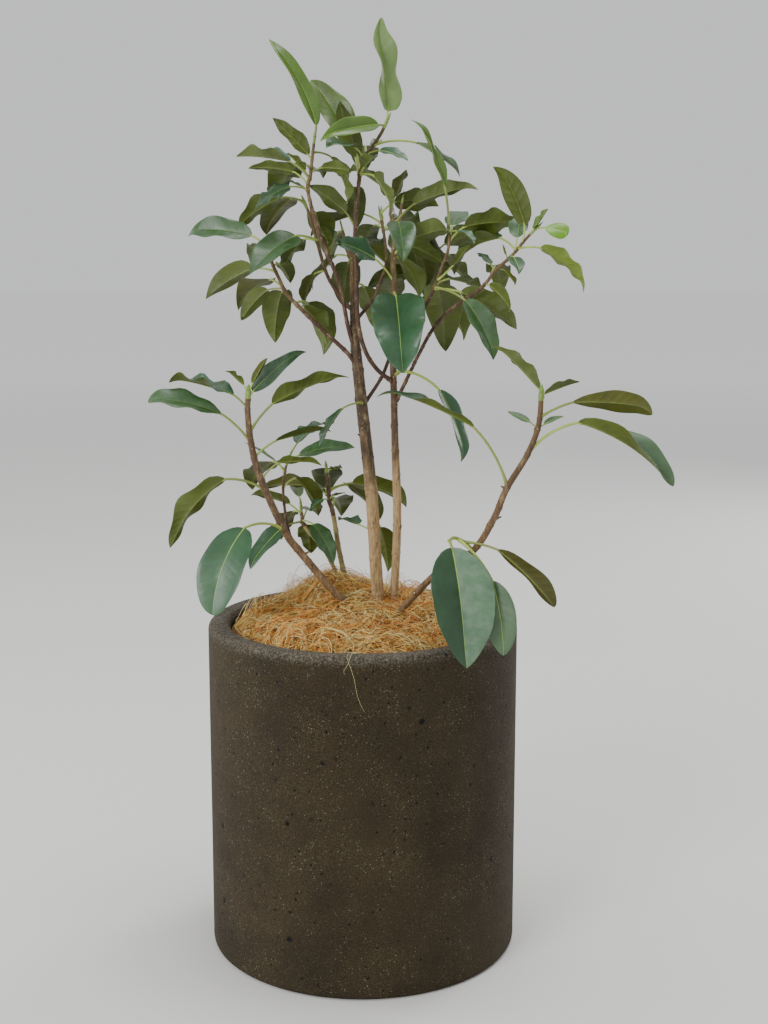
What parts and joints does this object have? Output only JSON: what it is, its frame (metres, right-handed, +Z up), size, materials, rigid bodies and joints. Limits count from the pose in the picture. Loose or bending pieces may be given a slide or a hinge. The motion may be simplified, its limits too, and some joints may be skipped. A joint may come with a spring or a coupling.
{
  "type": "potted port jackson fig",
  "caption": "Young fig with several thin leafy stems, broad glossy leaves on pale stalks, in a tall round charcoal planter with coconut fibre over the soil.",
  "frame": {"origin": "centre of the planter's flat underside, on the floor", "axes": "+Z up along the planter's axis, +X to the viewer's right, -Y towards the viewer"},
  "size_m": [0.458, 0.288, 0.8485],
  "materials": {
    "clay": "matte, finely pitted fibre clay",
    "soil": "crumbly, matte",
    "coir": "loose dry fibre",
    "bark": "fine bark with node rings",
    "leaf": "glossy above, matte olive below"
  },
  "bodies": {
    "root": {"pot": "clay", "soil": "soil", "coir_mulch": "coir", "stem_main": "bark", "stem_second": "bark", "stem_low_left": "bark", "stem_low_right": "bark", "stem_back": "bark", "stem_back_left": "bark", "bough_left": "bark", "bough_upper_left": "bark", "bough_left_middle": "bark", "bough_top": "bark", "bough_centre": "bark", "bough_right_inner": "bark", "bough_back_right": "bark", "bough_right": "bark", "bough_low_left": "bark", "foliage_main": "leaf", "foliage_second": "leaf", "foliage_low_left": "leaf", "foliage_low_right": "leaf", "foliage_back": "leaf", "foliage_back_left": "leaf", "foliage_left": "leaf", "foliage_upper_left": "leaf", "foliage_left_middle": "leaf", "foliage_top": "leaf", "foliage_centre": "leaf", "foliage_right_inner": "leaf", "foliage_back_right": "leaf", "foliage_right": "leaf", "foliage_low_inner": "leaf", "foliage_low_front": "leaf", "foliage_stem_main": "leaf", "leaf_stem_main": "leaf", "leaf_stem_second": "leaf"}
  },
  "joints": []
}
